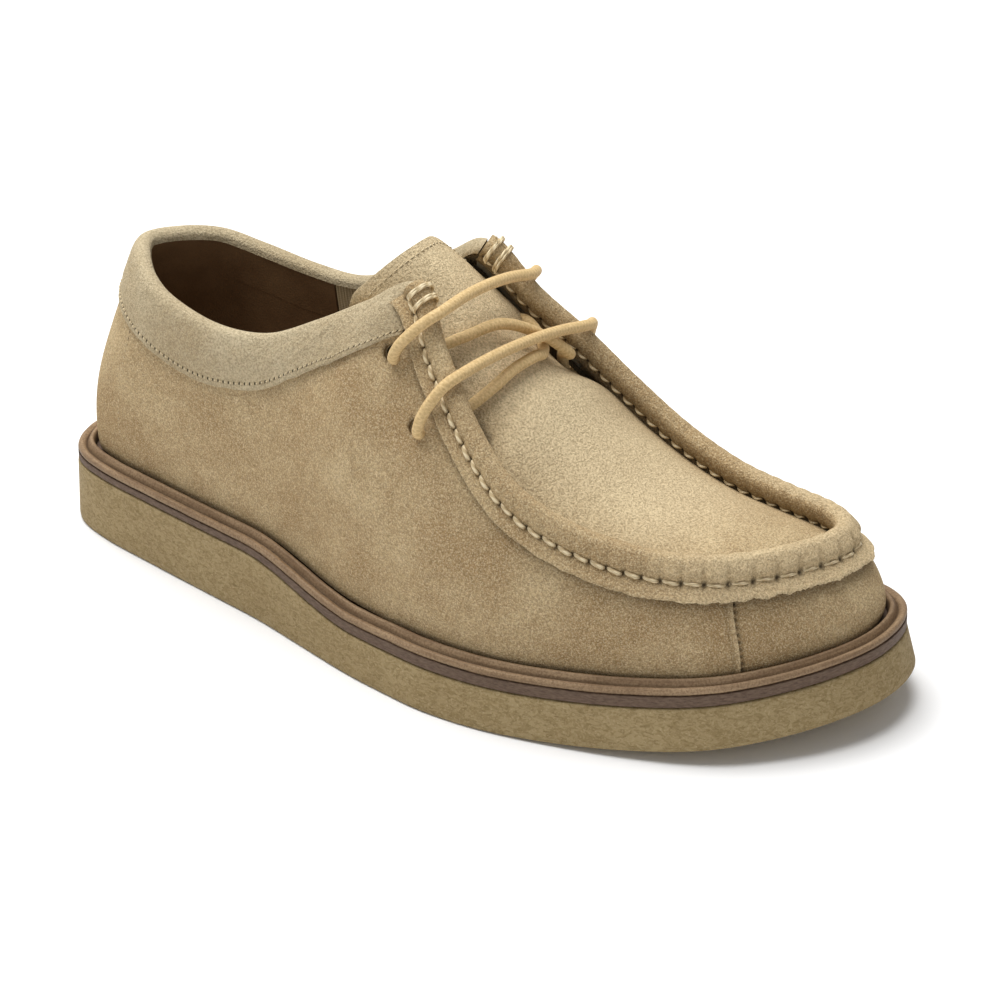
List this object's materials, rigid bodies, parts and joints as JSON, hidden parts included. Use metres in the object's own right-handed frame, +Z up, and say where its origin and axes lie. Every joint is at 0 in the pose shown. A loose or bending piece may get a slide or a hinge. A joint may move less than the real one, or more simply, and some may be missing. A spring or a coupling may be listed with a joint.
{
  "type": "moccasin shoe",
  "caption": "Low suede moccasin for the right foot, with a raised hand-sewn seam round the apron, a round cord lace over the tongue, a storm welt and a thick crepe sole.",
  "frame": {"origin": "on the ground, under the centre of the shoe's box", "axes": "+X from heel to toe, +Y to the medial (inner) side, +Z up"},
  "size_m": [0.3058, 0.1177, 0.1315],
  "materials": {
    "suede": "sand suede with a short nap",
    "pale_suede": "paler collar suede",
    "crepe": "plantation crepe, matt and pebbled",
    "midsole": "dark brown, matt",
    "welt_leather": "smooth tan leather",
    "brown_leather": "smooth brown lining leather",
    "textile": "ribbed lining cloth",
    "foam": "open-cell foam",
    "stiffener": "pressed fibre",
    "board": "fibreboard",
    "cork": "cork filler",
    "steel": "spring steel",
    "pale_thread": "waxed cream thread",
    "tan_thread": "fine tan thread",
    "lace_cord": "round waxed cotton cord",
    "aglet": "clear-coated tip"
  },
  "bodies": {
    "shoe": {"outsole_crepe": "crepe", "midsole": "midsole", "welt": "welt_leather", "shank": "steel", "cork_filler": "cork", "insole_board": "board", "footbed": "brown_leather", "quarter_lateral": "suede", "quarter_medial": "suede", "heel_counter": "stiffener", "toe_puff": "stiffener", "eyelet_stay_lateral": "stiffener", "eyelet_stay_medial": "stiffener", "collar_lining": "brown_leather", "counter_lining": "brown_leather", "lining_lateral": "textile", "lining_medial": "textile", "collar_band": "pale_suede", "collar_foam": "foam", "apron": "suede", "apron_lining": "textile", "moc_thread_outer": "pale_thread", "moc_thread_inner": "pale_thread", "seam_wrap_lateral": "pale_thread", "seam_wrap_medial": "pale_thread", "collar_thread": "tan_thread", "counter_thread_lateral": "tan_thread", "counter_thread_medial": "tan_thread", "back_seam_thread": "tan_thread", "toe_seam_thread": "tan_thread", "lace": "lace_cord", "aglet_a": "aglet", "aglet_b": "aglet"},
    "tongue": {"tongue": "suede", "tongue_lining": "textile", "tongue_thread": "tan_thread"}
  },
  "joints": [
    {"name": "tongue_hinge", "type": "hinge", "parent": "shoe", "child": "tongue", "pos_m": [0.0371, 0, 0.077], "axis": [0, 1, 0], "range_deg": [-12, 0]}
  ]
}
